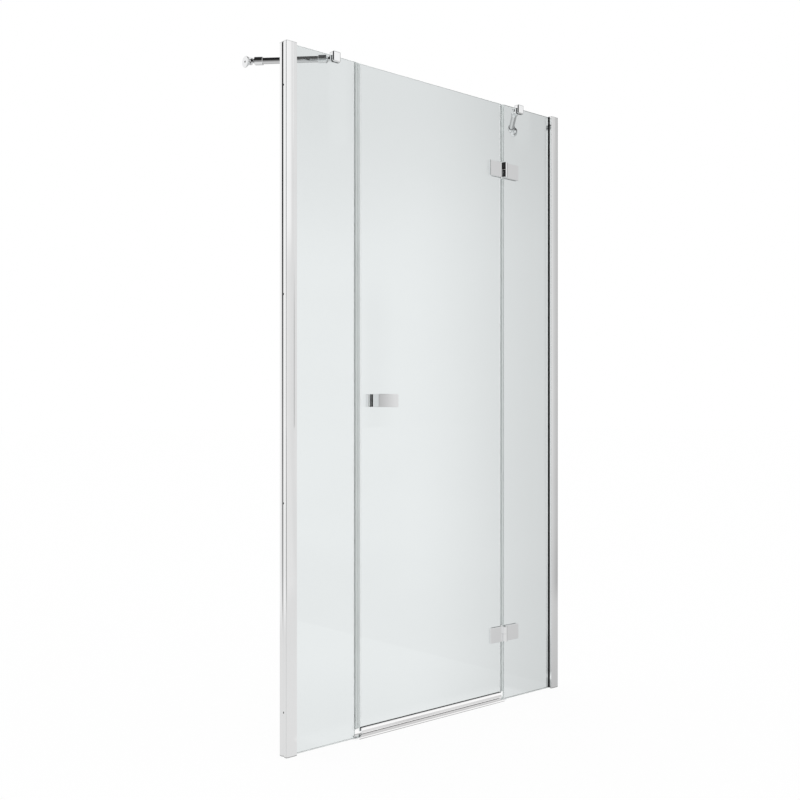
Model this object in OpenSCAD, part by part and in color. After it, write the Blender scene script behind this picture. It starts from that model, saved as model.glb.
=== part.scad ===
// Hinged glass shower front: a swinging glass door hung on a fixed glass
// panel with two glass-to-glass hinges, between two wall profiles, and
// braced by two short support arms that run back to the side walls.
// +X runs left to right as seen from outside, +Y into the shower, +Z up.
// The origin is on the shower tray, under the middle plane of the glass,
// half way between the two walls.

/* [Enclosure] */
// Width between the two side walls
overall_w = 1130; // [1110:1:1200]
// Height of the wall profiles with their caps
overall_h = 1948; // [1850:1:2050]
// Thickness of every pane
glass_t = 6; // [5:0.5:6]
// Free edge of the left fixed pane, from the left wall
left_pane_edge = 249; // [230:1:280]
// Free edge of the right fixed pane, from the right wall
right_pane_edge = 257; // [250:1:300]
// Gap between the left fixed pane and the door glass, filled by the magnet seals
closing_gap = 18; // [18:1:20]
// Gap between the door glass and the right fixed pane
hinge_gap = 12; // [12:0.5:14]

/* [Wall profiles] */
// Width of the profile face, from the wall
profile_w = 35; // [34:0.5:40]
// Width of the profile behind the glass, from the wall
rear_w = 28; // [27:0.5:30]
// Depth of the profile, front to back
profile_d = 34; // [34:0.5:38]
// Thickness of the top cap
cap_t = 1; // [1:0.5:3]
// Height of the lowest and highest wall screw above the tray
screw_z_low = 120; // [80:5:150]
// Distance from the lowest to the highest wall screw
screw_span = 1710; // [1500:10:1740]

/* [Hinges] */
// Height of a hinge leaf
hinge_h = 49; // [44:1:60]
// Height of the lower hinge centre above the tray
hinge_low_z = 217; // [180:1:300]
// Height of the upper hinge centre above the tray
hinge_high_z = 1730; // [1600:1:1780]
// Distance of the pivot in front of the glass middle plane
pivot_out = 12; // [12:0.5:14]
// Radius of the hinge knuckle
knuckle_r = 8.5; // [8:0.1:8.8]
// Length of the door leaf from the pivot
door_leaf_l = 65; // [55:1:70]
// Length of the fixed leaf from the pivot
fixed_leaf_l = 68; // [60:1:75]

/* [Handle] */
// Width of the handle
handle_w = 75; // [60:1:90]
// Height of the handle
handle_h = 37.5; // [30:0.5:45]
// How far the outer half stands off the glass
handle_out = 36.5; // [30:0.5:40]
// How far the inner half stands off the glass
handle_in = 21; // [16:0.5:30]
// Height of the handle centre above the tray
handle_z = 973; // [900:1:1100]
// Closing edge of the door glass to the handle centre
handle_from_edge = 79; // [60:1:120]

/* [Support arms] */
// Height of the arm centre line above the top edge of the glass
arm_rise = -2; // [-3:0.5:2]
// Height of the arm centre line above the centre of the wall rosette
rosette_drop = 5; // [0:0.5:6]
// Glass clamp centre, from the wall profile's wall face
clamp_from_wall = 179.5; // [150:0.5:240]
// Wall rosette centre behind the glass middle plane
rosette_back = 188; // [160:1:260]
// Outer diameter of the arm tube
tube_d = 18; // [14:0.5:19]
// Outer diameter of the sleeve at each arm end
sleeve_d = 23.5; // [21:0.5:24]
// Diameter of the wall rosette
rosette_d = 32; // [30:1:40]

/* [Threshold and door rail] */
// Width of the threshold in front of the glass middle plane
threshold_front = 20; // [18:1:26]
// Height of the threshold ridge
threshold_h = 10; // [8:0.5:10]
// Height of the door rail's top edge above the tray
rail_top = 27; // [26:0.5:34]

/* [Hidden] */
$fn = 64;

g = glass_t / 2;                             // half the glass thickness
hw = overall_w / 2;                          // half the width
hp = profile_d / 2;                          // half the profile depth
glass_top = overall_h - cap_t;               // top edge of all panes
arm_z = glass_top + arm_rise;                // arm centre line
ros_z = arm_z - rosette_drop;                // wall rosette centre
glass_foot = 2;                              // fixed panes stand on a 2 mm seal
wedge = 6.6;                                 // front gasket, glass to profile lip
fix_u = 10.5;                                // screws that join profile and channel
pocket_u = 21;                               // glass edge inside the profile, from the wall
lx = -hw + left_pane_edge;                   // free edge of the left fixed pane
dx0 = lx + closing_gap;                      // closing edge of the door glass
rx = hw - right_pane_edge;                   // free edge of the right fixed pane
dx1 = rx - hinge_gap;                        // hinge edge of the door glass
ax = rx - 4;                                 // pivot, across
ay = -pivot_out;                             // pivot, in front of the glass
pad_t = 1;                                   // soft pad between metal and glass
leaf_f = pivot_out - g - pad_t - 6;          // leaf front face, behind the pivot
leaf_b = pivot_out - g - pad_t;              // leaf back face, behind the pivot
clamp_y0 = g + pad_t;                        // inner clamp plate, glass side
clamp_y1 = g + pad_t + 5;                    // inner clamp plate, shower side
door_screw_x = ax - 35;                      // hinge screws in the door glass
fixed_screw_x = ax + 40;                     // hinge screws in the fixed pane
door_clamp_x = ax - 50;                      // end of the inner clamp plate on the door glass
hinge_screw_dz = 13;                         // hinge screws above and below centre
hinge_zs = [hinge_low_z, hinge_high_z];
rail_bot = 13.5;
door_foot = 17.2;                            // lower edge of the door glass
seal_foot = rail_top + 1;
hx = dx0 + handle_from_edge;                 // handle centre
stud_dx = 22;
clamp_x = hw - clamp_from_wall;              // glass clamp centres at -clamp_x and +clamp_x
pin_y = 20;                                  // clamp pivot behind the glass middle plane
ros_u = 18;                                  // rosette pivot from the wall
arm_dx = clamp_from_wall - ros_u;
arm_dy = rosette_back - pin_y;
arm_len = sqrt(arm_dx * arm_dx + arm_dy * arm_dy);
arm_ang = atan2(arm_dy, -arm_dx);            // left arm, from the clamp to the wall
tongue_h = 3.7;
ear_z0 = 4;
ear_z1 = 9;
ear_r = 6.5;
screw_zs = [for (i = [0:3]) screw_z_low + i * screw_span / 3];
fix_zs = [100, overall_h / 2, overall_h - 100];
alu = "gainsboro";
chrome = "silver";
clear_glass = "honeydew";
clear_seal = "azure";
soft = "darkgray";
steel = "lightgray";

// ---------- helpers ----------
module rrect(w, h, r) {
    square([w, h - 2 * r], center = true);
    square([w - 2 * r, h], center = true);
    for (x = [-1, 1], y = [-1, 1]) translate([x * (w / 2 - r), y * (h / 2 - r)]) circle(r = r);
}

// a 2D shape drawn in Y,Z and run along X from x0 to x1
module along_x(x0, x1) {
    translate([x0, 0, 0]) rotate([90, 0, 90]) linear_extrude(height = x1 - x0) children();
}

// a 2D shape drawn in X,Z and run along Y from y0 to y1
module along_y(y0, y1) {
    translate([0, y1, 0]) rotate([90, 0, 0]) linear_extrude(height = y1 - y0) children();
}

// a cylinder along Y
module rod_y(x, z, r, y0, y1) {
    translate([x, y0, z]) rotate([-90, 0, 0]) cylinder(r = r, h = y1 - y0);
}

// flat plate in the X,Z plane with chamfered front and back edges
module plate(x0, x1, z0, z1, y0, y1, cf, cb) {
    intersection() {
        translate([0, 0, z0]) linear_extrude(height = z1 - z0)
            polygon([[x0 + cf, y0], [x1 - cf, y0], [x1, y0 + cf], [x1, y1 - cb], [x1 - cb, y1], [x0 + cb, y1], [x0, y1 - cb], [x0, y0 + cf]]);
        along_x(x0 - 1, x1 + 1)
            polygon([[y0, z0 + cf], [y0 + cf, z0], [y1 - cb, z0], [y1, z0 + cb], [y1, z1 - cb], [y1 - cb, z1], [y0 + cf, z1], [y0, z1 - cf]]);
    }
}

// ---------- wall profiles, drawn for the left wall from u = 0 ----------
// wall channel: a U section with a sealant groove in its wall face
module channel_section() {
    polygon([
        [0, 5], [2.5, 3.6], [2.5, -3.6], [0, -5], [0, -hp + 2.4], [15.5, -hp + 2.4], [15.5, -hp + 4.1],
        [2, -hp + 4.1], [2, -8], [5.6, -6.2], [5.6, 6.2], [2, 8], [2, hp - 4.1],
        [15.5, hp - 4.1], [15.5, hp - 2.4], [0, hp - 2.4]
    ]);
}

// one half of the outline of the glazing profile, in front of the glass (s = -1) or
// behind it (s = 1): a gently bowed face that rolls back at the wall and has a
// rounded corner beside the glass
module outline_half(w, s, rb, grow) {
    bow = 181;
    rw = 9;
    roll = 3;
    x0 = 0.5 - grow;
    x1 = w + grow;
    y1 = hp + grow;
    mirror([0, s > 0 ? 0 : 1]) intersection() {
        union() {
            translate([x0 + roll, -0.1]) square([x1 - rb - x0 - roll, y1 + 0.1]);
            translate([x0, -0.1]) square([x1 - x0, y1 - rw - 0.4]);
            translate([x1 - 8, 0]) square([8, y1 - rb]);
            translate([x1 - rb, y1 - rb]) circle(r = rb);
            intersection() {
                translate([x0 + roll + 0.72, y1 - rw - 0.553]) circle(r = rw);
                translate([x0, y1 - rw - 0.6]) square([roll + 0.1, rw + 1]);
            }
        }
        translate([(1 + profile_w) / 2, hp + grow - bow]) circle(r = bow, $fn = 360);
    }
}

module profile_outline(grow = 0) {
    outline_half(profile_w, -1, 1.2, grow);
    outline_half(rear_w, 1, 3, grow);
}

module glazing_section() {
    difference() {
        profile_outline();
        translate([-1, -hp + 2.2]) square([18.5, profile_d - 4.4]);
        translate([19.3, -g - wedge - 0.3]) square([profile_w, glass_t + wedge + 2.5]);
        translate([19.3, -hp + 1.8]) square([profile_w - 21.1, hp - g - wedge - 3.7]);
        translate([19.3, g + 3.8]) square([rear_w - 21.1, hp - g - 5.6]);
    }
}

module wall_channel_l() {
    difference() {
        linear_extrude(height = glass_top) channel_section();
        for (z = screw_zs) translate([-1, 0, z]) rotate([0, 90, 0]) cylinder(r = 2.75, h = 9);
        for (z = screw_zs) translate([4.2, 0, z]) rotate([0, 90, 0]) cylinder(r1 = 2.75, r2 = 4.25, h = 1.5);
        for (z = fix_zs) rod_y(fix_u, z, 1.8, 0, hp);
    }
}

module glazing_profile_l() {
    difference() {
        linear_extrude(height = glass_top) glazing_section();
        for (z = fix_zs) {
            rod_y(fix_u, z, 1.8, 5, hp + 1);
            rod_y(fix_u, z, 3.9, hp - 0.5, hp + 2);
        }
    }
}

module profile_cap_l() {
    translate([0, 0, glass_top]) linear_extrude(height = cap_t) difference() {
        union() {
            profile_outline(0.3);
            translate([0, -hp + 1.4]) square([8, profile_d - 2.8]);
        }
        translate([-1, -30]) square([1, 60]);
    }
    // two plugs that push into the chambers of the glazing profile
    translate([19.8, -hp + 2.1, glass_top - 12]) cube([profile_w - 22.1, hp - g - wedge - 4.3, 12.5]);
    translate([19.8, g + 4.1, glass_top - 12]) cube([rear_w - 22.1, hp - g - 6.2, 12.5]);
}

module fixing_screws_l() {
    for (z = fix_zs) difference() {
        union() {
            rod_y(fix_u, z, 1.75, hp - 7, hp - 0.4);
            translate([fix_u, hp - 0.5, z]) rotate([-90, 0, 0]) cylinder(r1 = 3.5, r2 = 2.6, h = 2);
        }
        rod_y(fix_u, z, 1.2, hp + 0.5, hp + 3);
    }
}

// a wedge gasket in front of the glass and a lip gasket behind it
module gaskets_l() {
    f = profile_w;
    r = rear_w;
    translate([0, 0, glass_foot + 0.2]) linear_extrude(height = glass_top - glass_foot - 0.7) {
        polygon([
            [22.5, -g], [f + 2.4, -g], [f + 2.9, -g - 0.8], [f + 1.6, -g - 4], [f + 0.6, -g - wedge],
            [f - 0.6, -g - wedge - 0.25], [22.5, -g - wedge - 0.25]
        ]);
        polygon([
            [22.5, g], [r + 2.2, g], [r + 2.7, g + 0.8], [r + 1.8, g + 2.7],
            [r + 0.05, g + 3.4], [r + 0.05, g + 2.15], [22.5, g + 2.15]
        ]);
    }
}

module wall_channel_left() { color(alu) translate([-hw, 0, 0]) wall_channel_l(); }
module wall_channel_right() { color(alu) mirror([1, 0, 0]) translate([-hw, 0, 0]) wall_channel_l(); }
module glazing_profile_left() { color(alu) translate([-hw, 0, 0]) glazing_profile_l(); }
module glazing_profile_right() { color(alu) mirror([1, 0, 0]) translate([-hw, 0, 0]) glazing_profile_l(); }
module profile_cap_left() { color(chrome) translate([-hw, 0, 0]) profile_cap_l(); }
module profile_cap_right() { color(chrome) mirror([1, 0, 0]) translate([-hw, 0, 0]) profile_cap_l(); }
module profile_fixing_screws() {
    color(steel) for (m = [0, 1]) mirror([m, 0, 0]) translate([-hw, 0, 0]) fixing_screws_l();
}
module glazing_gaskets_left() { color(soft) translate([-hw, 0, 0]) gaskets_l(); }
module glazing_gaskets_right() { color(soft) mirror([1, 0, 0]) translate([-hw, 0, 0]) gaskets_l(); }

// ---------- panes ----------
module pane(x0, x1, z0, z1) {
    plate(x0, x1, z0, z1, -g, g, 0.6, 0.6);
}

module fixed_glass_left() {
    color(clear_glass) pane(-hw + pocket_u, lx, glass_foot, glass_top);
}

module fixed_glass_right() {
    color(clear_glass) difference() {
        pane(rx, hw - pocket_u, glass_foot, glass_top);
        for (z = hinge_zs, s = [-1, 1]) rod_y(fixed_screw_x, z + s * hinge_screw_dz, 8, -g - 1, g + 1);
    }
}

module door_glass() {
    color(clear_glass) difference() {
        pane(dx0, dx1, door_foot, glass_top - 1);
        for (z = hinge_zs, s = [-1, 1]) rod_y(door_screw_x, z + s * hinge_screw_dz, 8, -g - 1, g + 1);
        for (s = [-1, 1]) rod_y(hx + s * stud_dx, handle_z, 7, -g - 1, g + 1);
    }
}

module glass_foot_seals() {
    color(clear_seal) {
        translate([-hw + pocket_u, -4, 0]) cube([lx + hw - pocket_u, 8, glass_foot]);
        translate([rx, -4, 0]) cube([hw - pocket_u - rx, 8, glass_foot]);
    }
}

// ---------- seals ----------
// magnet seal on a pane that ends at x = 0 and lies on the side of negative x
module magnet_seal_section(box_l) {
    difference() {
        translate([-6, -g - 0.7]) square([7, glass_t + 1.4]);
        translate([-7, -g]) square([7, glass_t]);
    }
    difference() {
        translate([0.5, -4.5]) square([box_l + 0.5, 9]);
        translate([1.8, -3.7]) square([box_l - 1.6, 7.4]);
    }
}
box_l = closing_gap / 2 - 1.35;

module fixed_magnet_seal() {
    color(clear_seal) translate([lx, 0, 26]) linear_extrude(height = glass_top - 27) magnet_seal_section(box_l);
}
module fixed_magnet_strip() {
    color(soft) translate([lx + 1.9, -3.6, 27]) cube([box_l - 1.8, 7.2, glass_top - 29]);
}
module door_magnet_seal() {
    color(clear_seal) translate([dx0, 0, seal_foot]) mirror([1, 0, 0])
        linear_extrude(height = glass_top - 2 - seal_foot) magnet_seal_section(box_l);
}
module door_magnet_strip() {
    color(soft) translate([dx0 - 0.1 - box_l, -3.6, seal_foot + 1]) cube([box_l - 1.8, 7.2, glass_top - 4 - seal_foot]);
}

// bulb seal on the hinge edge of the door glass, cut away at the two hinges
module hinge_side_seal() {
    cut = hinge_h / 2 + 2.5;
    runs = [[seal_foot, hinge_low_z - cut], [hinge_low_z + cut, hinge_high_z - cut], [hinge_high_z + cut, glass_top - 2]];
    bulb = (hinge_gap - 2) / 2;
    color(clear_seal) for (r = runs) translate([dx1, 0, r[0]]) linear_extrude(height = r[1] - r[0]) {
        difference() {
            translate([-6, -g - 0.7]) square([7, glass_t + 1.4]);
            translate([-8, -g]) square([8, glass_t]);
        }
        difference() {
            union() {
                translate([1.4 + bulb, 0]) circle(r = bulb);
                translate([0.5, -1.5]) square([2, 3]);
            }
            translate([1.4 + bulb, 0]) circle(r = bulb - 0.9);
        }
    }
}

// ---------- threshold ----------
module threshold_section() {
    f = -threshold_front;
    h = threshold_h;
    polygon([[f, 0], [f, 5.2], [f + 1.1, 6.2], [-5, h], [3, h], [5, h - 1.6], [12, 4], [12, 0]]);
}
thr_x0 = lx + 3;
thr_x1 = dx1 - 2;

module threshold() {
    f = -threshold_front;
    h = threshold_h;
    color(alu) along_x(thr_x0, thr_x1) difference() {
        threshold_section();
        polygon([[f + 1.5, 1.5], [f + 1.5, 4.7], [-4.6, h - 1.5], [2.4, h - 1.5], [4.2, h - 3], [10.5, 3.2], [10.5, 1.5]]);
    }
}

module threshold_end_caps() {
    color(chrome) {
        along_x(thr_x0 - 2.5, thr_x0) threshold_section();
        along_x(thr_x0 - 16, thr_x0 - 2.4) intersection() {
            threshold_section();
            translate([-60, 0]) square([60 - g - 1.5, 40]);
        }
        along_x(thr_x1, thr_x1 + 9) threshold_section();
    }
}

// ---------- door bottom rail ----------
module rail_section() {
    t = rail_top;
    difference() {
        polygon([
            [-8.3, 10.7], [-8.3, 12], [-6.9, t - 8], [-6.9, t - 1.1], [-6.4, t - 0.4], [-5.6, t], [-4.2, t], [-g - 0.05, t - 1],
            [g + 0.05, t - 1], [4.2, t], [5.2, t], [6, t - 0.8], [6, rail_bot], [-6.4, rail_bot],
            [-7.1, 12.6], [-7.1, 10.3], [-7.9, 10.3]
        ]);
        translate([-g - 0.05, door_foot - 0.2]) square([glass_t + 0.1, 40]);
        translate([-1, rail_bot - 1]) square([2, 2.2]);
        translate([-2, rail_bot + 1]) square([4, 1.4]);
    }
}

rail_in = 3;                                 // rail ends, in from the edges of the door glass
module door_rail() { color(alu) along_x(dx0 + rail_in + 5, dx1 - rail_in - 5) rail_section(); }

module door_rail_end_caps() {
    color(chrome) for (x = [dx0 + rail_in, dx1 - rail_in - 5]) along_x(x, x + 5) difference() {
        union() {
            rail_section();
            translate([-2.5, rail_bot]) square([5, 3]);
        }
        translate([-g - 0.05, door_foot - 0.2]) square([glass_t + 0.1, 40]);
    }
}

module drip_seal() {
    color(clear_seal) along_x(dx0 + rail_in + 5.5, dx1 - rail_in - 5.5) {
        polygon([[-0.9, 13], [-0.9, 14.7], [-1.8, 14.7], [-1.8, 15.7], [1.8, 15.7], [1.8, 14.7], [0.9, 14.7], [0.9, 13]]);
        polygon([[-3.4, 12.3], [-3.4, 13.4], [4.4, 13.4], [4.4, 12.5], [5.6, 10.9], [4.9, 10.7], [3.5, 12.3], [-1.6, 12.3], [-3.2, 10.7], [-3.9, 10.9]]);
    }
}

// ---------- hinges ----------
module hinge_screw_holes(x, z, r, y0, y1) {
    for (s = [-1, 1]) rod_y(x, z + s * hinge_screw_dz, r, y0, y1);
}

// half knuckle and its link to the leaf; the pivot is at the origin
module knuckle(side) {
    h = hinge_h / 2;
    rotate_extrude() polygon([[0, 0.5], [knuckle_r, 0.5], [knuckle_r, h - 0.8], [knuckle_r - 0.8, h], [0, h]]);
    plate(side > 0 ? 2 : -12, side > 0 ? 12 : -2, 0.5, h, leaf_f, leaf_b, 0.8, 0.1);
}

// leaf that is fixed to the door glass: its knuckle is the upper half
module door_leaf(z) {
    h = hinge_h / 2;
    color(chrome) translate([ax, ay, z]) difference() {
        union() {
            difference() {
                plate(-door_leaf_l, -8, -h, h, leaf_f, leaf_b, 0.8, 0.1);
                translate([0, 0, -h - 1]) cylinder(r = knuckle_r + 0.7, h = h + 1.5);
            }
            knuckle(-1);
        }
        translate([0, 0, -1]) cylinder(r = 4.52, h = h + 3);
        translate([-ax, -ay, 0]) hinge_screw_holes(door_screw_x, 0, 3, -g - pad_t - 4.6, 0);
    }
}

// leaf that is fixed to the fixed pane: its knuckle is the lower half
module fixed_leaf(z) {
    h = hinge_h / 2;
    color(chrome) translate([ax, ay, z]) difference() {
        union() {
            difference() {
                plate(8, fixed_leaf_l, -h, h, leaf_f, leaf_b, 0.8, 0.1);
                translate([0, 0, -0.5]) cylinder(r = knuckle_r + 0.7, h = h + 2);
            }
            mirror([0, 0, 1]) knuckle(1);
        }
        translate([0, 0, -h - 1]) cylinder(r = 3.02, h = h + 2);
        translate([-ax, -ay, 0]) hinge_screw_holes(fixed_screw_x, 0, 3, -g - pad_t - 4.6, 0);
    }
}

// inner clamp plate with countersunk screw holes
module inner_clamp(x0, x1, sx, z) {
    h = hinge_h / 2;
    color(chrome) difference() {
        plate(x0, x1, z - h, z + h, clamp_y0, clamp_y1, 0.1, 0.8);
        hinge_screw_holes(sx, z, 3.1, clamp_y0 - 1, clamp_y1 + 1);
        for (s = [-1, 1]) translate([sx, clamp_y1 - 3, z + s * hinge_screw_dz]) rotate([-90, 0, 0]) cylinder(r1 = 3.1, r2 = 6.1, h = 3);
    }
}

module upper_hinge_door_leaf() { door_leaf(hinge_high_z); }
module lower_hinge_door_leaf() { door_leaf(hinge_low_z); }
module upper_hinge_fixed_leaf() { fixed_leaf(hinge_high_z); }
module lower_hinge_fixed_leaf() { fixed_leaf(hinge_low_z); }
module upper_hinge_door_clamp() { inner_clamp(door_clamp_x, dx1 - 1, door_screw_x, hinge_high_z); }
module lower_hinge_door_clamp() { inner_clamp(door_clamp_x, dx1 - 1, door_screw_x, hinge_low_z); }
module upper_hinge_fixed_clamp() { inner_clamp(rx + 1, ax + fixed_leaf_l, fixed_screw_x, hinge_high_z); }
module lower_hinge_fixed_clamp() { inner_clamp(rx + 1, ax + fixed_leaf_l, fixed_screw_x, hinge_low_z); }

module pads(x0, x0_inner, x1, sx) {
    h = hinge_h / 2 - 1;
    color(soft) for (z = hinge_zs, y = [-g - pad_t, g]) difference() {
        translate([y < 0 ? x0 : x0_inner, y, z - h]) cube([x1 - (y < 0 ? x0 : x0_inner), pad_t, 2 * h]);
        hinge_screw_holes(sx, z, 3.4, y - 1, y + 2);
    }
}
module hinge_door_pads() { pads(ax - door_leaf_l + 1, door_clamp_x + 1, dx1, door_screw_x); }
module hinge_fixed_pads() { pads(rx, rx, ax + fixed_leaf_l - 1, fixed_screw_x); }

module csk_screws(sx) {
    color(steel) for (z = hinge_zs, s = [-1, 1]) translate([sx, 0, z + s * hinge_screw_dz]) difference() {
        union() {
            rod_y(0, 0, 2.95, -g - pad_t - 4.2, clamp_y1 - 0.2);
            translate([0, clamp_y1 - 2.95, 0]) rotate([-90, 0, 0]) cylinder(r1 = 2.95, r2 = 5.75, h = 2.8);
        }
        translate([0, clamp_y1 - 2.4, 0]) rotate([-90, 0, 0]) cylinder(r = 2.3, h = 4, $fn = 6);
    }
}
module hinge_door_screws() { csk_screws(door_screw_x); }
module hinge_fixed_screws() { csk_screws(fixed_screw_x); }

module sleeve_y(x, z, ro, ri) {
    difference() {
        rod_y(x, z, ro, -g, g);
        rod_y(x, z, ri, -g - 1, g + 1);
    }
}
module hinge_door_sleeves() {
    color(soft) for (z = hinge_zs, s = [-1, 1]) sleeve_y(door_screw_x, z + s * hinge_screw_dz, 7.9, 3.1);
}
module hinge_fixed_sleeves() {
    color(soft) for (z = hinge_zs, s = [-1, 1]) sleeve_y(fixed_screw_x, z + s * hinge_screw_dz, 7.9, 3.1);
}

module hinge_pins() {
    color(steel) for (z = hinge_zs) translate([ax, ay, z - hinge_h / 2 + 0.4]) cylinder(r = 3, h = hinge_h - 0.8);
}
module hinge_washers() {
    color(soft) for (z = hinge_zs) translate([ax, ay, z - 0.5]) difference() {
        cylinder(r = knuckle_r - 0.4, h = 0.85);
        translate([0, 0, -1]) cylinder(r = 3.2, h = 3);
    }
}
module hinge_bushes() {
    color(soft) for (z = hinge_zs) translate([ax, ay, z + 0.6]) difference() {
        cylinder(r = 4.5, h = hinge_h / 2 - 1);
        translate([0, 0, -1]) cylinder(r = 3.05, h = hinge_h);
    }
}

// ---------- handle ----------
// block with its back on y = 0, standing toward negative y, and a finger groove round its foot
module knob(depth, foot, groove_w, groove_d) {
    gr = (groove_w * groove_w / 4 + groove_d * groove_d) / (2 * groove_d);
    yc = -foot - groove_w / 2;
    difference() {
        intersection() {
            along_y(-depth, 0) rrect(handle_w, handle_h, 1.6);
            plate(-handle_w / 2, handle_w / 2, -handle_h / 2, handle_h / 2, -depth, 0, 0.5, 0.3);
        }
        for (s = [-1, 1]) {
            translate([s * (handle_w / 2 + gr - groove_d), yc, -handle_h]) cylinder(r = gr, h = 2 * handle_h);
            translate([-handle_w, yc, s * (handle_h / 2 + gr - groove_d)]) rotate([0, 90, 0]) cylinder(r = gr, h = 2 * handle_w);
        }
        for (s = [-1, 1]) rod_y(s * stud_dx, 0, 3.02, -min(depth - 4, 20), 1);
    }
}
module handle_outer() {
    color(chrome) translate([hx, -g - pad_t, handle_z]) knob(handle_out - pad_t, 1, 7.6, 3);
}
module handle_inner() {
    color(chrome) translate([hx, g + pad_t, handle_z]) mirror([0, 1, 0]) knob(handle_in - pad_t, 2.4, 4.4, 1.8);
}
module handle_gaskets() {
    color(soft) for (y = [-g - pad_t, g]) difference() {
        translate([hx - handle_w / 2 + 1, y, handle_z - handle_h / 2 + 1]) cube([handle_w - 2, pad_t, handle_h - 2]);
        for (s = [-1, 1]) rod_y(hx + s * stud_dx, handle_z, 3.4, y - 1, y + 2);
    }
}
module handle_studs() {
    color(steel) for (s = [-1, 1]) rod_y(hx + s * stud_dx, handle_z, 3, -g - pad_t - 18, g + pad_t + 13);
}
module handle_sleeves() {
    color(soft) for (s = [-1, 1]) sleeve_y(hx + s * stud_dx, handle_z, 6.9, 3.15);
}

// ---------- support arms, drawn for the left side ----------
// fork of two ears: the pivot is at the origin and the root lies toward negative y
module fork(root) {
    for (s = [-1, 1]) translate([0, 0, s > 0 ? ear_z0 : -ear_z1]) linear_extrude(height = ear_z1 - ear_z0) {
        circle(r = ear_r);
        translate([-ear_r, -root]) square([2 * ear_r, root]);
    }
}

module glass_clamp_l() {
    zc = glass_top - 2;
    zg = glass_top - 8;
    difference() {
        union() {
            intersection() {
                translate([0, 0, zc]) along_y(-9.5, 11) rrect(27, 30, 5);
                translate([0, 0.75, zc]) along_x(-14, 14) rrect(20.5, 30, 3.6);
                translate([0, 0.75, zc - 16]) linear_extrude(height = 32) rrect(27, 20.5, 3.6);
            }
            translate([0, pin_y, arm_z]) fork(10.5);
        }
        translate([-20, -g - 1, zc - 20]) cube([40, glass_t + 2, 23]);
        translate([0, pin_y, arm_z - 15]) cylinder(r = 2.52, h = 30);
        for (s = [-1, 1]) rod_y(s * 10, zg, 2.02, 2, 14);
    }
}
module clamp_liner_l() {
    difference() {
        translate([-12, -g - 1, glass_top - 17]) cube([24, glass_t + 2, 18]);
        translate([-14, -g, glass_top - 19]) cube([28, glass_t, 19]);
    }
}
module clamp_grubs_l() {
    zg = glass_top - 8;
    for (s = [-1, 1]) difference() {
        rod_y(s * 10, zg, 2, g + 1.02, 10.2);
        translate([s * 10, 8.4, zg]) rotate([-90, 0, 0]) cylinder(r = 1.15, h = 4, $fn = 6);
    }
}
module pivot_pin() { translate([0, 0, -ear_z1 + 0.2]) cylinder(r = 2.5, h = 2 * ear_z1 - 0.4); }

// arm end: eye at the origin, sleeve toward positive x
module arm_end() {
    r = sleeve_d / 2;
    difference() {
        union() {
            translate([0, 0, -tongue_h]) linear_extrude(height = 2 * tongue_h) {
                circle(r = ear_r);
                translate([0, -ear_r]) square([13, 2 * ear_r]);
            }
            intersection() {
                rotate([0, 90, 0]) union() {
                    translate([0, 0, 8.6]) cylinder(r1 = 7, r2 = r, h = 5);
                    translate([0, 0, 13.5]) cylinder(r = r, h = 22.7);
                    translate([0, 0, 36.2]) cylinder(r1 = r, r2 = r - 0.8, h = 0.8);
                }
                along_y(-20, 20) polygon([[8.6, -tongue_h], [16, -r - 0.5], [40, -r - 0.5], [40, r + 0.5], [16, r + 0.5], [8.6, tongue_h]]);
            }
        }
        translate([0, 0, -20]) cylinder(r = 2.56, h = 40);
        translate([25, 0, 0]) rotate([0, 90, 0]) cylinder(r = tube_d / 2 + 0.05, h = 20);
    }
}
module at_left_clamp_pin() { translate([-clamp_x, pin_y, arm_z]) rotate([0, 0, arm_ang]) children(); }

module arm_tube_l() {
    at_left_clamp_pin() rotate([0, 90, 0]) difference() {
        translate([0, 0, 25.5]) cylinder(r = tube_d / 2, h = arm_len - 51);
        translate([0, 0, 20]) cylinder(r = tube_d / 2 - 1.2, h = arm_len);
    }
}
module arm_glass_end_l() { at_left_clamp_pin() arm_end(); }
module arm_wall_end_l() { at_left_clamp_pin() translate([arm_len, 0, 0]) rotate([0, 0, 180]) arm_end(); }

module rosette_l() {
    r = rosette_d / 2;
    difference() {
        union() {
            translate([-hw, rosette_back, ros_z]) rotate([0, 90, 0]) rotate_extrude()
                polygon([[0, 0], [r - 0.6, 0], [r, 0.6], [r, 3.4], [r - 1.2, 4.9], [r - 3.4, 5.9], [9.6, 6.8], [9.2, 10.2], [0, 10.2]]);
            translate([-hw + ros_u, rosette_back, arm_z]) rotate([0, 0, -90]) fork(14);
        }
        translate([-hw - 1, rosette_back, ros_z]) rotate([0, 90, 0]) cylinder(r = 3, h = 9.5);
        translate([-hw + ros_u, rosette_back, arm_z - 20]) cylinder(r = 2.52, h = 40);
    }
}
module rosette_pin_l() { translate([-hw + ros_u, rosette_back, arm_z]) pivot_pin(); }

module glass_clamp_left() { color(chrome) translate([-clamp_x, 0, 0]) glass_clamp_l(); }
module glass_clamp_right() { color(chrome) translate([clamp_x, 0, 0]) glass_clamp_l(); }
module clamp_liners() { color(clear_seal) for (x = [-clamp_x, clamp_x]) translate([x, 0, 0]) clamp_liner_l(); }
module clamp_grub_screws() { color(steel) for (x = [-clamp_x, clamp_x]) translate([x, 0, 0]) clamp_grubs_l(); }
module clamp_pivot_pins() { color(steel) for (x = [-clamp_x, clamp_x]) translate([x, pin_y, arm_z]) pivot_pin(); }
module left_arm_tube() { color(chrome) arm_tube_l(); }
module left_arm_glass_end() { color(chrome) arm_glass_end_l(); }
module left_arm_wall_end() { color(chrome) arm_wall_end_l(); }
module left_rosette() { color(chrome) rosette_l(); }
module left_rosette_pin() { color(steel) rosette_pin_l(); }
module right_arm_tube() { color(chrome) mirror([1, 0, 0]) arm_tube_l(); }
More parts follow.
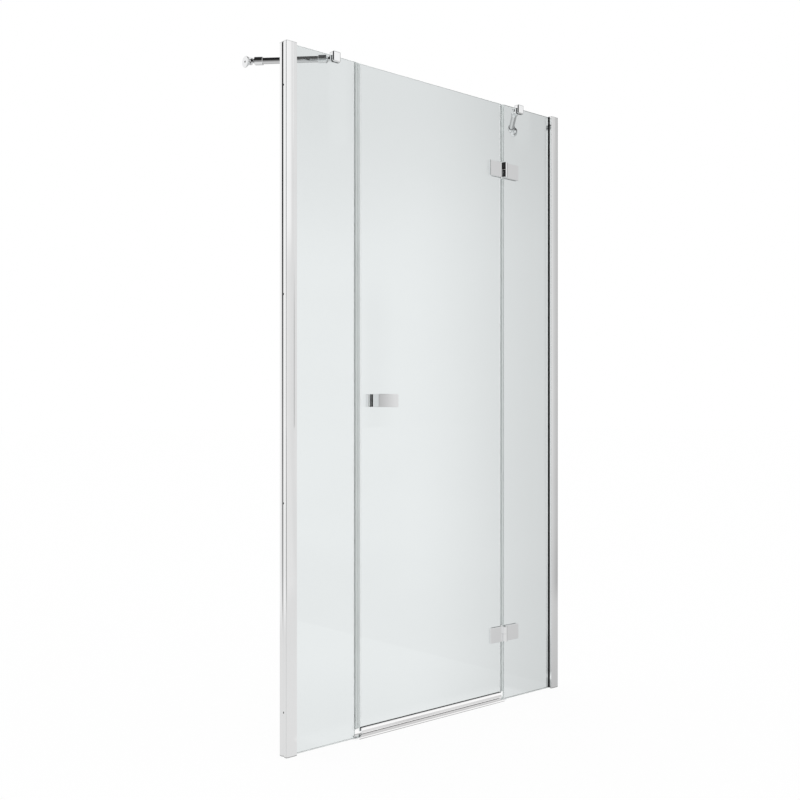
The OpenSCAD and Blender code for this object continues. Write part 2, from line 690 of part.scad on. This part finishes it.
module right_arm_glass_end() { color(chrome) mirror([1, 0, 0]) arm_glass_end_l(); }
module right_arm_wall_end() { color(chrome) mirror([1, 0, 0]) arm_wall_end_l(); }
module right_rosette() { color(chrome) mirror([1, 0, 0]) rosette_l(); }
module right_rosette_pin() { color(steel) mirror([1, 0, 0]) rosette_pin_l(); }

wall_channel_left();
wall_channel_right();
glazing_profile_left();
glazing_profile_right();
profile_cap_left();
profile_cap_right();
profile_fixing_screws();
glazing_gaskets_left();
glazing_gaskets_right();
fixed_glass_left();
fixed_glass_right();
glass_foot_seals();
fixed_magnet_seal();
fixed_magnet_strip();
threshold();
threshold_end_caps();
upper_hinge_fixed_leaf();
lower_hinge_fixed_leaf();
upper_hinge_fixed_clamp();
lower_hinge_fixed_clamp();
hinge_fixed_pads();
hinge_fixed_screws();
hinge_fixed_sleeves();
hinge_pins();
hinge_washers();
glass_clamp_left();
glass_clamp_right();
clamp_liners();
clamp_grub_screws();
clamp_pivot_pins();
door_glass();
upper_hinge_door_leaf();
lower_hinge_door_leaf();
upper_hinge_door_clamp();
lower_hinge_door_clamp();
hinge_door_pads();
hinge_door_screws();
hinge_door_sleeves();
hinge_bushes();
hinge_side_seal();
door_magnet_seal();
door_magnet_strip();
door_rail();
drip_seal();
door_rail_end_caps();
handle_outer();
handle_inner();
handle_gaskets();
handle_studs();
handle_sleeves();
left_arm_tube();
left_arm_glass_end();
left_arm_wall_end();
left_rosette();
left_rosette_pin();
right_arm_tube();
right_arm_glass_end();
right_arm_wall_end();
right_rosette();
right_rosette_pin();
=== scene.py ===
import math

import bpy
import bmesh
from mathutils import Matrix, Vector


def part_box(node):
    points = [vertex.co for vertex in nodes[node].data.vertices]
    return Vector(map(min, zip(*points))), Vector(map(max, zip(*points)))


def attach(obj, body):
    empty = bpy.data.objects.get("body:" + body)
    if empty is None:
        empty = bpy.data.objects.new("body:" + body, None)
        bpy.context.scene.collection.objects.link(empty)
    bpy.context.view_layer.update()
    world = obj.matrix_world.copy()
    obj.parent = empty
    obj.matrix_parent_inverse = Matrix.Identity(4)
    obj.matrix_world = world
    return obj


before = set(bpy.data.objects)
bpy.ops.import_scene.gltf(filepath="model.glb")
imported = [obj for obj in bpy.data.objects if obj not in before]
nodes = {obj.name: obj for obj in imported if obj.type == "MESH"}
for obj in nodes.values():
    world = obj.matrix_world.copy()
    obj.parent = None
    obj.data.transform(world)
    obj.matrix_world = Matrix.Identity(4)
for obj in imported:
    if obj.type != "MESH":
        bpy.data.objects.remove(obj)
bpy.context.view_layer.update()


# ---------------------------------------------------------------- node helpers
class Tree:
    """Small helper that adds and links shader nodes."""

    def __init__(self, tree):
        self.t = tree
        self.n = tree.nodes

    def add(self, kind, **sockets):
        node = self.n.new(kind)
        for key, value in sockets.items():
            if key in ("operation", "blend_type", "data_type", "interpolation_type", "noise_dimensions", "feature",
                       "wave_type", "bands_direction", "vector_type", "distribution"):
                setattr(node, key, value)
        return node

    def link(self, a, b):
        self.t.links.new(a, b)

    def math(self, op, a, b=None, clamp=False):
        node = self.n.new("ShaderNodeMath")
        node.operation = op
        node.use_clamp = clamp
        for i, v in enumerate((a, b)):
            if v is None:
                continue
            if isinstance(v, (int, float)):
                node.inputs[i].default_value = v
            else:
                self.link(v, node.inputs[i])
        return node.outputs[0]

    def smooth(self, value, lo, hi, to_lo=0.0, to_hi=1.0, kind="SMOOTHSTEP"):
        node = self.n.new("ShaderNodeMapRange")
        node.interpolation_type = kind
        node.clamp = True
        self.link(value, node.inputs["Value"])
        node.inputs["From Min"].default_value = lo
        node.inputs["From Max"].default_value = hi
        node.inputs["To Min"].default_value = to_lo
        node.inputs["To Max"].default_value = to_hi
        return node.outputs["Result"]

    def mix(self, factor, a, b):
        node = self.n.new("ShaderNodeMix")
        node.data_type = "RGBA"
        node.clamp_factor = True
        if isinstance(factor, (int, float)):
            node.inputs["Factor"].default_value = factor
        else:
            self.link(factor, node.inputs["Factor"])
        for socket, v in ((node.inputs[6], a), (node.inputs[7], b)):
            if isinstance(v, (tuple, list)):
                socket.default_value = (*v[:3], 1.0)
            else:
                self.link(v, socket)
        return node.outputs[2]

    def noise(self, coords, scale, detail=2.0, rough=0.5):
        node = self.n.new("ShaderNodeTexNoise")
        node.inputs["Scale"].default_value = scale
        node.inputs["Detail"].default_value = detail
        node.inputs["Roughness"].default_value = rough
        self.link(coords, node.inputs["Vector"])
        return node.outputs[0]

    def stretched(self, coords, sx, sy, sz):
        node = self.n.new("ShaderNodeMapping")
        node.inputs["Scale"].default_value = (sx, sy, sz)
        self.link(coords, node.inputs["Vector"])
        return node.outputs[0]

    def bump(self, height, strength, distance):
        node = self.n.new("ShaderNodeBump")
        node.inputs["Strength"].default_value = strength
        node.inputs["Distance"].default_value = distance
        self.link(height, node.inputs["Height"])
        return node.outputs[0]


def new_material(name):
    m = bpy.data.materials.new(name)
    m.use_nodes = True
    m.node_tree.nodes.clear()
    t = Tree(m.node_tree)
    out = t.n.new("ShaderNodeOutputMaterial")
    p = t.n.new("ShaderNodeBsdfPrincipled")
    t.link(p.outputs[0], out.inputs["Surface"])
    coords = t.n.new("ShaderNodeTexCoord")
    return m, t, p, coords


# ---------------------------------------------------------------- materials
def metal(name, base, rough, grain=(1, 1, 1), grain_bump=0.0, spread=0.01, tint=0.02, foot=False):
    """Polished metal: faint clouding in colour and gloss, and drawn or turned lines along the long way of grain.
    foot paints contact shade: it darkens the last millimetres above the tray, where shade falls at the join."""
    m, t, p, c = new_material(name)
    obj = c.outputs["Object"]
    cloud = t.noise(obj, 5.0, 3.0)
    fine = t.noise(t.stretched(obj, *grain), 1.0, 3.0, 0.6)
    dark = tuple(max(0.0, v - tint) for v in base)
    p.inputs["Metallic"].default_value = 1.0
    colour = t.mix(t.smooth(cloud, 0.35, 0.65), dark, base)
    # painted contact shade: the base colour turns grey over the last few millimetres above the tray
    if foot:
        xyz = t.n.new("ShaderNodeSeparateXYZ")
        t.link(obj, xyz.inputs[0])
        wob = t.math("ADD", xyz.outputs["Z"], t.math("MULTIPLY", t.math("SUBTRACT", cloud, 0.5), 0.002))
        colour = t.mix(t.smooth(wob, 0.0006, 0.0034), (0.42, 0.42, 0.42), colour)
    t.link(colour, p.inputs["Base Color"])
    r = t.math("ADD", t.smooth(cloud, 0.3, 0.7, rough, rough + spread), t.smooth(fine, 0.3, 0.7, 0.0, spread))
    t.link(r, p.inputs["Roughness"])
    if grain_bump:
        t.link(t.bump(fine, grain_bump, 0.00002), p.inputs["Normal"])
    return m


def clear_pane(name):
    """Tempered float glass: nearly colourless through the faces, blue-green and softer on the ground edges."""
    m, t, p, c = new_material(name)
    obj = c.outputs["Object"]
    axis = t.n.new("ShaderNodeSeparateXYZ")
    t.link(c.outputs["Normal"], axis.inputs[0])
    facing = t.math("ABSOLUTE", axis.outputs["Y"])
    edge = t.smooth(facing, 0.9, 0.3)
    upright_edge = t.smooth(t.math("ABSOLUTE", axis.outputs["X"]), 0.3, 0.9)
    wave = t.noise(t.stretched(obj, 2.2, 2.2, 5.5), 1.0, 1.0)
    face = t.mix(t.smooth(wave, 0.3, 0.7), (0.835, 0.868, 0.871), (0.843, 0.876, 0.879))
    p.inputs["IOR"].default_value = 1.5
    p.inputs["Specular IOR Level"].default_value = 0.25
    t.link(t.mix(edge, face, (0.88, 0.94, 0.93)), p.inputs["Base Color"])
    t.link(t.math("MULTIPLY", edge, 0.3), p.inputs["Roughness"])
    t.link(t.math("SUBTRACT", 1.0, t.math("ADD", t.math("MULTIPLY", edge, 0.45), t.math("MULTIPLY", upright_edge, 0.5))), p.inputs["Transmission Weight"])
    t.link(t.bump(wave, 0.02, 0.002), p.inputs["Normal"])
    return m


def clear_plastic(name, colour, body_alpha, leg_alpha, spans=None, rough=0.14):
    """Extruded vinyl: frosted where it fills a gap between two panes (spans gives that stretch of X, in metres),
    and clear on the legs that lie on the glass. Faint extrusion lines and clouding."""
    m, t, p, c = new_material(name)
    obj = c.outputs["Object"]
    lines = t.noise(t.stretched(obj, 900, 900, 4), 1.0, 2.0)
    cloud = t.noise(obj, 14.0, 2.0)
    t.link(t.mix(cloud, colour, tuple(v * 0.95 for v in colour)), p.inputs["Base Color"])
    t.link(t.smooth(lines, 0.3, 0.7, rough, rough + 0.06), p.inputs["Roughness"])
    alpha = t.smooth(cloud, 0.3, 0.7, body_alpha, body_alpha * 0.94)
    if spans:
        xyz = t.n.new("ShaderNodeSeparateXYZ")
        t.link(obj, xyz.inputs[0])
        x = xyz.outputs["X"]
        inside = 0
        for a, b in spans:
            span = t.math("MULTIPLY", t.math("GREATER_THAN", x, a), t.math("LESS_THAN", x, b))
            inside = span if inside == 0 else t.math("MAXIMUM", inside, span)
        gap = t.math("MULTIPLY", inside, t.math("SUBTRACT", alpha, leg_alpha))
        alpha = t.math("ADD", gap, leg_alpha)
    t.link(alpha, p.inputs["Alpha"])
    p.inputs["IOR"].default_value = 1.46
    return m


def rubber(name, colour, rough=0.5, shine=0.5):
    m, t, p, c = new_material(name)
    obj = c.outputs["Object"]
    fine = t.noise(obj, 900.0, 2.0)
    cloud = t.noise(obj, 25.0, 2.0)
    t.link(t.mix(cloud, colour, tuple(v * 0.88 for v in colour)), p.inputs["Base Color"])
    t.link(t.smooth(fine, 0.3, 0.7, rough, rough + 0.12), p.inputs["Roughness"])
    t.link(t.bump(fine, 0.1, 0.00005), p.inputs["Normal"])
    p.inputs["Specular IOR Level"].default_value = shine
    return m


def two_gaskets(name, front, back, rough=0.45):
    """Extruded rubber in two colours: the wedge in front of the glass and the lip behind it."""
    m, t, p, c = new_material(name)
    obj = c.outputs["Object"]
    xyz = t.n.new("ShaderNodeSeparateXYZ")
    t.link(obj, xyz.inputs[0])
    side = t.math("GREATER_THAN", xyz.outputs["Y"], 0.0)
    fine = t.noise(t.stretched(obj, 900, 900, 6), 1.0, 2.0)
    cloud = t.noise(obj, 25.0, 2.0)
    dull = t.mix(side, tuple(v * 0.85 for v in front), tuple(v * 0.9 for v in back))
    t.link(t.mix(cloud, t.mix(side, front, back), dull), p.inputs["Base Color"])
    t.link(t.smooth(fine, 0.3, 0.7, rough, rough + 0.12), p.inputs["Roughness"])
    t.link(t.bump(fine, 0.1, 0.00005), p.inputs["Normal"])
    p.inputs["Specular IOR Level"].default_value = 0.08
    return m


def plastic(name, colour, rough=0.32):
    m, t, p, c = new_material(name)
    obj = c.outputs["Object"]
    fine = t.noise(obj, 500.0, 2.0)
    cloud = t.noise(obj, 30.0, 2.0)
    t.link(t.mix(cloud, colour, tuple(v * 0.93 for v in colour)), p.inputs["Base Color"])
    t.link(t.smooth(fine, 0.3, 0.7, rough, rough + 0.1), p.inputs["Roughness"])
    t.link(t.bump(fine, 0.05, 0.00005), p.inputs["Normal"])
    return m


# foot=True paints a contact shade along the bottom of the uprights and the level pieces
upright = metal("polished_aluminium_upright", (0.975, 0.978, 0.98), 0.03, (700, 700, 3), 0.03, foot=True)
level = metal("polished_aluminium_level", (0.985, 0.98, 0.98), 0.09, (3, 700, 700), 0.04, foot=True)
chrome = metal("bright_chrome", (0.955, 0.96, 0.965), 0.015, (60, 60, 60), 0.0, spread=0.006, tint=0.01)
tube_steel = metal("polished_steel_tube", (0.74, 0.742, 0.745), 0.03, (60, 60, 60), 0.0, spread=0.01, tint=0.01)
cap_grey = metal("satin_cap", (0.66, 0.665, 0.67), 0.22, (250, 250, 250), 0.05, spread=0.06)
steel = metal("turned_steel", (0.68, 0.69, 0.7), 0.18, (900, 900, 900), 0.06, spread=0.08)
pane = clear_pane("float_glass")
edge_left, edge_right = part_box("fixed_glass_left")[1][0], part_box("fixed_glass_right")[0][0]
edge_lock, edge_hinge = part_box("door_glass")[0][0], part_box("door_glass")[1][0]
vinyl = clear_plastic("clear_vinyl", (0.67, 0.71, 0.705), 0.82, 0.03,
                      [(edge_left + 0.0004, edge_lock - 0.0004), (edge_hinge + 0.0004, edge_hinge + 0.0078)])
drip = clear_plastic("clear_vinyl_level", (0.62, 0.67, 0.665), 0.4, 0.4)
gasket = two_gaskets("gaskets", (0.006, 0.0065, 0.0065), (0.6, 0.63, 0.63))
pad = rubber("soft_pad", (0.62, 0.64, 0.64), 0.45)
liner_black = rubber("black_liner", (0.012, 0.0125, 0.013), 0.4, 0.25)
nylon = plastic("white_nylon", (0.8, 0.8, 0.77))
magnet = rubber("magnet_strip", (0.66, 0.68, 0.68), 0.42)
black_rubber = rubber("black_rubber", (0.010, 0.0105, 0.011), 0.5, 0.15)

LOOKS = {
    upright: ["wall_channel_left", "wall_channel_right", "glazing_profile_left", "glazing_profile_right"],
    level: ["threshold", "door_rail"],
    chrome: ["threshold_end_caps", "door_rail_end_caps", "upper_hinge_fixed_leaf", "lower_hinge_fixed_leaf",
             "upper_hinge_fixed_clamp", "lower_hinge_fixed_clamp", "upper_hinge_door_leaf", "lower_hinge_door_leaf",
             "upper_hinge_door_clamp", "lower_hinge_door_clamp", "glass_clamp_left", "glass_clamp_right",
             "handle_outer", "handle_inner", "left_arm_glass_end", "left_arm_wall_end",
             "right_arm_glass_end", "right_arm_wall_end", "left_rosette", "right_rosette"],
    tube_steel: ["left_arm_tube", "right_arm_tube"],
    cap_grey: ["profile_cap_left", "profile_cap_right"],
    steel: ["profile_fixing_screws", "hinge_fixed_screws", "hinge_door_screws", "hinge_pins", "clamp_grub_screws",
            "clamp_pivot_pins", "handle_studs", "left_rosette_pin", "right_rosette_pin"],
    pane: ["fixed_glass_left", "fixed_glass_right", "door_glass"],
    vinyl: ["fixed_magnet_seal", "door_magnet_seal", "hinge_side_seal"],
    drip: ["glass_foot_seals", "drip_seal"],
    liner_black: ["clamp_liners"],
    gasket: ["glazing_gaskets_left", "glazing_gaskets_right"],
    pad: ["hinge_fixed_pads", "hinge_door_pads", "handle_gaskets"],
    nylon: ["hinge_fixed_sleeves", "hinge_door_sleeves", "handle_sleeves", "hinge_bushes", "hinge_washers"],
    magnet: ["fixed_magnet_strip", "door_magnet_strip"],
}
for material, names in LOOKS.items():
    for name in names:
        ob = nodes[name]
        if not ob.material_slots:
            ob.data.materials.append(material)
        for slot in ob.material_slots:
            slot.material = material


# ---------------------------------------------------------------- small pieces
def swept(name, outline, a, b, material, body, bevel=0.0002):
    """A bar whose outline lies in Y and Z and which runs along X from a to b, with eased edges."""
    bm = bmesh.new()
    rings = []
    for x in (a, b):
        rings.append([bm.verts.new((x, y, z)) for y, z in outline])
    n = len(outline)
    bm.faces.new(rings[0])
    bm.faces.new(list(reversed(rings[1])))
    for q in range(n):
        bm.faces.new((rings[0][q], rings[1][q], rings[1][(q + 1) % n], rings[0][(q + 1) % n]))
    bmesh.ops.recalc_face_normals(bm, faces=bm.faces)
    if bevel:
        bmesh.ops.bevel(bm, geom=list(bm.edges), offset=bevel, segments=2, affect="EDGES", profile=0.5)
    me = bpy.data.meshes.new(name)
    bm.to_mesh(me)
    bm.free()
    ob = bpy.data.objects.new(name, me)
    bpy.context.scene.collection.objects.link(ob)
    me.materials.append(material)
    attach(ob, body)
    return ob


rail_lo, rail_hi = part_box("door_rail")
rail_z = rail_hi[2]
glass_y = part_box("door_glass")[1][1]
for side, label in ((-1, "outer"), (1, "inner")):
    y0 = side * (glass_y + 0.0001)
    swept("rail_wiper_" + label,
          [(y0, rail_z - 0.0008), (side * (glass_y + 0.0012), rail_z + 0.0002), (side * (glass_y + 0.0011), rail_z + 0.0004),
           (side * (glass_y + 0.0005), rail_z + 0.0008), (y0, rail_z + 0.0008)],
          rail_lo[0] - 0.004, rail_hi[0] + 0.004, black_rubber, "door", 0.00012)


def groove_ring(name, node, side, foot, width, depth, material):
    """A rubber ring that lies in the finger groove round the foot of a handle block. Its inside follows the
    round bottom of the groove and its outside stays below the block's faces."""
    lo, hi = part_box(node)
    cx, cz = (lo[0] + hi[0]) / 2, (lo[2] + hi[2]) / 2
    hw, hh = (hi[0] - lo[0]) / 2, (hi[2] - lo[2]) / 2
    foot_y = hi[1] if side < 0 else lo[1]
    r = (width * width / 4 + depth * depth) / (2 * depth)
    shown = min(0.0004, depth * 0.2)
    section = []
    steps = 12
    reach = math.sqrt(r * r - (r - depth + shown) ** 2) - 0.0001
    for k in range(steps + 1):
        s = -reach + 2 * reach * k / steps
        section.append((foot + width / 2 + s, math.sqrt(r * r - s * s) - (r - depth) - 0.00004))
    section += [(foot + width / 2 + reach, shown), (foot + width / 2, shown + 0.0002), (foot + width / 2 - reach, shown)]
    bm = bmesh.new()
    stations = []
    for sx, sz in ((-1, -1), (1, -1), (1, 1), (-1, 1)):
        stations.append([bm.verts.new((cx + sx * (hw - d), foot_y + side * y, cz + sz * (hh - d))) for y, d in section])
    n = len(section)
    for a in range(4):
        for q in range(n):
            bm.faces.new((stations[a][q], stations[(a + 1) % 4][q], stations[(a + 1) % 4][(q + 1) % n], stations[a][(q + 1) % n]))
    bmesh.ops.recalc_face_normals(bm, faces=bm.faces)
    me = bpy.data.meshes.new(name)
    bm.to_mesh(me)
    bm.free()
    ob = bpy.data.objects.new(name, me)
    bpy.context.scene.collection.objects.link(ob)
    me.materials.append(material)
    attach(ob, "door")
    return ob


# painted shade: the black ring in the outer handle's groove stands in for the shade deep inside that groove
groove_ring("handle_groove_shade_ring", "handle_outer", -1, 0.0010, 0.0076, 0.003, black_rubber)
groove_ring("handle_inner_groove_ring", "handle_inner", 1, 0.0024, 0.0044, 0.0018, nylon)

# ---------------------------------------------------------------- studio
def ramp(t, factor, stops):
    """Grey values over 0..1, straight between the stops."""
    node = t.n.new("ShaderNodeValToRGB")
    node.color_ramp.interpolation = "LINEAR"
    e = node.color_ramp.elements
    while len(e) > 1:
        e.remove(e[-1])
    e[0].position = stops[0][0]
    e[0].color = (stops[0][1],) * 3 + (1,)
    for pos, v in stops[1:]:
        new = e.new(pos)
        new.color = (v, v, v, 1)
    t.link(factor, node.inputs["Fac"])
    return node.outputs["Color"]


def turn(t, x, y):
    """Compass angle of (x, y) from +Y towards +X, as 0..1."""
    a = t.math("ARCTAN2", x, y)
    return t.math("FRACT", t.math("ADD", t.math("DIVIDE", a, 2 * math.pi), 1.0))


# how bright the studio is round the compass, as polished metal sees it
ROUND = [(0, 0.62), (34, 0.5), (52, 0.42), (62, 0.38), (80, 0.36), (110, 0.37), (119, 0.44), (124, 0.52), (128, 0.57), (134, 0.64), (137, 0.72), (138.6, 0.76), (141.4, 0.73),
         (145, 0.73), (150, 0.77), (165, 0.80), (184, 0.82), (187, 0.02), (304, 0.02), (306.5, 0.92), (312, 0.92), (318, 0.84),
         (325, 0.90), (340, 0.82), (360, 0.62)]
# the same for the floor near the object, by where it is round the object
NEAR = [(0, 0.6), (45, 0.6), (80, 0.50), (105, 0.54), (115, 0.57), (122, 0.60), (130, 0.65), (140, 0.72), (160, 0.74),
        (304, 0.74), (312, 0.74), (340, 0.80), (360, 0.60)]
# sine of the height above which the studio is dark
CEILING = [(0, 0.8), (186, 0.8), (188, 0.9), (304, 0.9), (306, 0.8), (360, 0.8)]


# where that dark side lies, 0 to 1
DARK = [(0, 0), (184, 0), (187, 1), (304, 1), (306.5, 0), (360, 0)]


def as_ramp(table):
    return [(a / 360.0, v) for a, v in table]


def seen_through(t, az, low):
    """Tone of the backdrop seen through glass: a little darker to the right and toward the top."""
    right = t.smooth(az, 41.5 / 360, 50.5 / 360, 1.0, 0.80)
    back = t.smooth(az, 90 / 360, 130 / 360, 0.0, 1.0)
    side = t.math("MAXIMUM", right, t.math("MULTIPLY", back, 1.0))
    return t.math("MULTIPLY", side, low)


MIDDLE = (-2.2, -2.35)      # the middle of the studio, in front of the object and to its left


# A plain pale floor
mesh = bpy.data.meshes.new("floor")
mesh.from_pydata([(-60, -60, 0), (60, -60, 0), (60, 60, 0), (-60, 60, 0)], [], [(0, 1, 2, 3)])
floor = bpy.data.objects.new("floor", mesh)
bpy.context.scene.collection.objects.link(floor)
floor.location.z = -0.0005
fm = bpy.data.materials.new("floor")
fm.use_nodes = True
fm.node_tree.nodes.clear()
ft = Tree(fm.node_tree)
f_out = ft.n.new("ShaderNodeOutputMaterial")
f_mix = ft.n.new("ShaderNodeMixShader")
f_diff = ft.n.new("ShaderNodeBsdfDiffuse")
f_glow = ft.n.new("ShaderNodeEmission")
f_pos = ft.n.new("ShaderNodeTexCoord")
f_xyz = ft.n.new("ShaderNodeSeparateXYZ")
ft.link(f_pos.outputs["Object"], f_xyz.inputs[0])
fx, fy, fz = f_xyz.outputs
reach = ft.math("SQRT", ft.math("ADD", ft.math("MULTIPLY", fx, fx), ft.math("MULTIPLY", fy, fy)))
dark_side = ramp(ft, turn(ft, fx, fy), as_ramp(DARK))
fade = ft.math("ADD", 0.17, ft.math("DIVIDE", 0.75, ft.math("MAXIMUM", reach, 1.2)))
far = ft.smooth(reach, 1.9, 2.9)
f_turn = turn(ft, fx, fy)
close = ft.math("MULTIPLY", ft.smooth(ft.math("ABSOLUTE", fy), 0.16, 0.08), ft.smooth(ft.math("ABSOLUTE", fx), 0.46, 0.41))
shine = ft.mix(far, ft.mix(close, ramp(ft, f_turn, as_ramp(NEAR)), (0.98, 0.98, 0.98)), ft.mix(dark_side, ramp(ft, f_turn, as_ramp(ROUND)), fade))
behind = ramp(ft, f_turn, as_ramp([(0, 0), (25, 0), (33, 1), (48.6, 1), (49.6, 0), (360, 0)]))
shine = ft.mix(ft.math("MULTIPLY", far, behind), shine, (0.85, 0.85, 0.85))
f_path = ft.n.new("ShaderNodeLightPath")
f_az = turn(ft, ft.math("SUBTRACT", fx, MIDDLE[0]), ft.math("SUBTRACT", fy, MIDDLE[1]))
f_view = ft.math("SQRT", ft.math("ADD", ft.math("POWER", ft.math("SUBTRACT", fx, MIDDLE[0]), 2.0),
                                 ft.math("POWER", ft.math("SUBTRACT", fy, MIDDLE[1]), 2.0)))
through = seen_through(ft, f_az, ft.smooth(f_view, 2.9, 4.2, 0.93, 0.975))
next_bay = ft.math("MULTIPLY", ft.smooth(fx, 0.566, 0.574), ft.smooth(fx, 3.0, 1.0))
through = ft.mix(next_bay, through, ft.math("MULTIPLY", through, 0.975))
mirrored = ft.math("GREATER_THAN", f_path.outputs["Glossy Depth"], 0.5)
tone = ft.mix(mirrored, ft.mix(f_path.outputs["Is Transmission Ray"], (1.0, 1.0, 1.0), through), shine)
tone = ft.mix(f_path.outputs["Is Diffuse Ray"], tone, (1.0, 1.0, 1.0))
f_diff.inputs["Color"].default_value = (0.95, 0.95, 0.95, 1)
ft.link(tone, f_glow.inputs["Color"])
f_glow.inputs["Strength"].default_value = 1.0
lit = ft.math("MULTIPLY", f_path.outputs["Is Camera Ray"], 0.05)
ft.link(ft.math("SUBTRACT", 1.0, lit), f_mix.inputs[0])
ft.link(f_diff.outputs[0], f_mix.inputs[1])
ft.link(f_glow.outputs[0], f_mix.inputs[2])
ft.link(f_mix.outputs[0], f_out.inputs["Surface"])
mesh.materials.append(fm)

# A pale studio with a dark side and a dark ceiling, which only show as reflections
world = bpy.data.worlds.new("studio")
bpy.context.scene.world = world
world.use_nodes = True
world.node_tree.nodes.clear()
w = Tree(world.node_tree)
w_out = w.n.new("ShaderNodeOutputWorld")
w_bg = w.n.new("ShaderNodeBackground")
w.link(w_bg.outputs[0], w_out.inputs["Surface"])
w_dir = w.n.new("ShaderNodeTexCoord")
xyz = w.n.new("ShaderNodeSeparateXYZ")
w.link(w_dir.outputs["Generated"], xyz.inputs[0])
X, Y, Z = xyz.outputs
az = turn(w, X, Y)
middle = ramp(w, az, as_ramp(ROUND))
limit = ramp(w, az, as_ramp(CEILING))
above = w.math("MULTIPLY", w.math("SUBTRACT", Z, limit), 60.0, clamp=True)
lift = w.math("MULTIPLY", w.smooth(Z, 0.13, 0.19), ramp(w, az, as_ramp([(0, 0), (144, 0), (147.5, 0.14), (175, 0.14), (185, 0), (360, 0)])))
deg = w.math("MULTIPLY", az, 360.0)


def strip(a, b, soft):
    """1 between two compass angles, fading to 0 over soft degrees on either side."""
    rise = w.math("DIVIDE", w.math("SUBTRACT", deg, a - soft), soft, clamp=True)
    fall = w.math("DIVIDE", w.math("SUBTRACT", b + soft, deg), soft, clamp=True)
    return w.math("MULTIPLY", rise, fall)


# two bright strips high up in front, a bright patch above them, and one darker strip low down
two_strips = w.math("MAXIMUM", w.math("MULTIPLY", strip(131.7, 132.3, 0.2), 0.26), w.math("MULTIPLY", strip(141.7, 142.5, 0.2), 0.20))
front_high = w.math("MULTIPLY", w.smooth(Z, 0.238, 0.262), two_strips)
patch = w.math("MULTIPLY", w.smooth(Z, 0.55, 0.68), ramp(w, az, as_ramp([(0, 0), (85, 0), (95, 0.28), (110, 0.27), (119, 0.20), (124, 0.12), (128, 0.07), (134, 0), (360, 0)])))
low_strip = w.math("MULTIPLY", w.smooth(Z, 0.16, 0.08), w.math("MULTIPLY", w.math("DIVIDE", w.math("SUBTRACT", deg, 138.95), 1.07, clamp=True), w.math("DIVIDE", w.math("SUBTRACT", 140.9, deg), 0.6, clamp=True)))
lift = w.math("ADD", lift, w.math("MAXIMUM", front_high, patch))
lift = w.math("SUBTRACT", lift, w.math("MULTIPLY", low_strip, 0.29))
upper = w.math("MULTIPLY", w.smooth(Z, 0.36, 0.46), ramp(w, az, as_ramp([(0, 1), (90, 1), (110, 0), (310, 0), (330, 1), (360, 1)])))
high = w.math("MULTIPLY", w.smooth(Z, 0.10, 0.18), ramp(w, az, as_ramp([(0, 0), (43, 0), (45, 1), (48.5, 1), (50.5, 0), (360, 0)])))
upper = w.math("MAXIMUM", upper, high)
glossy = w.mix(above, w.mix(upper, middle, (0.72, 0.72, 0.72)), (0.02, 0.021, 0.023))
haze = w.math("MAXIMUM", w.math("SUBTRACT", 0.17, w.math("MULTIPLY", Z, 0.85)), 0.0)
lift = w.math("ADD", lift, w.math("MULTIPLY", haze, ramp(w, az, as_ramp(DARK))))
lifted = w.n.new("ShaderNodeMix")
lifted.data_type = "RGBA"
lifted.blend_type = "ADD"
lifted.inputs["Factor"].default_value = 1.0
w.link(glossy, lifted.inputs[6])
w.link(lift, lifted.inputs[7])
w_path = w.n.new("ShaderNodeLightPath")
w_through = seen_through(w, az, w.smooth(Z, 0.30, 0.12, 0.865, 0.975))
mirrored = w.math("GREATER_THAN", w_path.outputs["Glossy Depth"], 0.5)
colour = w.mix(mirrored, w.mix(w_path.outputs["Is Transmission Ray"], (1.0, 1.0, 1.0), w_through), lifted.outputs[2])
colour = w.mix(w_path.outputs["Is Diffuse Ray"], colour, (1.0, 1.0, 1.0))
w.link(colour, w_bg.inputs["Color"])
w_bg.inputs["Strength"].default_value = 1.0

# ---------------------------------------------------------------- camera
cam_data = bpy.data.cameras.new("camera")
cam = bpy.data.objects.new("camera", cam_data)
bpy.context.scene.collection.objects.link(cam)
cam.location = (-2.1947, -2.33858, 0.93027)
cam.rotation_euler = (math.radians(90), 0, math.radians(-41.289))
cam_data.sensor_width = 36
cam_data.lens = 1040.97 / 800 * 36
cam_data.shift_y = 15.126 / 800
cam_data.clip_start = 0.05
cam_data.clip_end = 200
bpy.context.scene.camera = cam
bpy.context.scene.view_settings.view_transform = "Standard"
